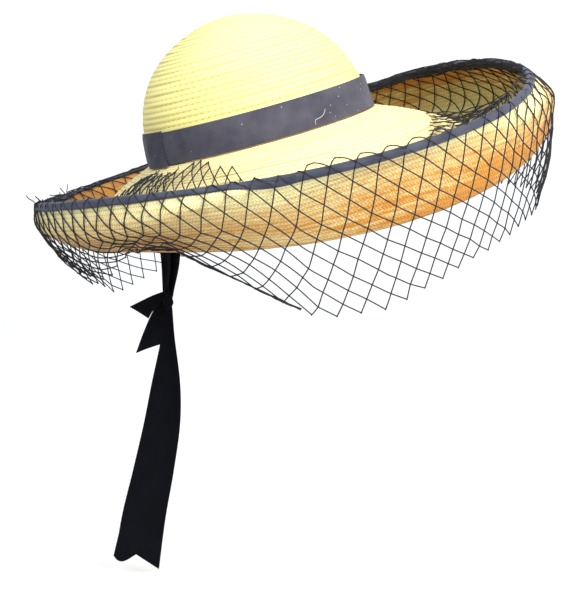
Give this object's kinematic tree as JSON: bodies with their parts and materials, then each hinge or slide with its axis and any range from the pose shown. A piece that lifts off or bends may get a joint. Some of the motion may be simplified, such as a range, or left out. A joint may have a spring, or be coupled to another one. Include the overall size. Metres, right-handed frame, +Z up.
{
  "type": "wide brim straw hat",
  "caption": "Wide brim straw hat with a rounded crown, velvet band, rolled and bound brim, net veil over the brim and ribbons tied behind the neck.",
  "frame": {"origin": "centre of the head opening, at the foot of the crown, where a head holds the hat up", "axes": "+Z straight up as worn, -Y to the wearer's front, +X to the wearer's left; the hat itself is raised at the front by 15 degrees and on the wearer's right by 4 degrees"},
  "size_m": [0.4624, 0.4298, 0.4388],
  "materials": {
    "straw_crown": "sewn straw braid, satin",
    "straw_brim": "sewn straw braid, satin",
    "band_velvet": "matte velvet",
    "binding_velvet": "matte velvet",
    "net": "twisted net yarn",
    "ribbon": "matte velvet ribbon"
  },
  "bodies": {
    "root": {"crown": "straw_crown", "brim": "straw_brim", "hat_band": "band_velvet", "band_tab": "band_velvet", "edge_binding": "binding_velvet", "veil_net": "net", "ribbon_strap_left": "ribbon", "ribbon_strap_right": "ribbon", "ribbon_knot": "ribbon", "ribbon_tail_upper": "ribbon", "ribbon_tail_lower": "ribbon", "ribbon_tail_long": "ribbon"}
  },
  "joints": []
}
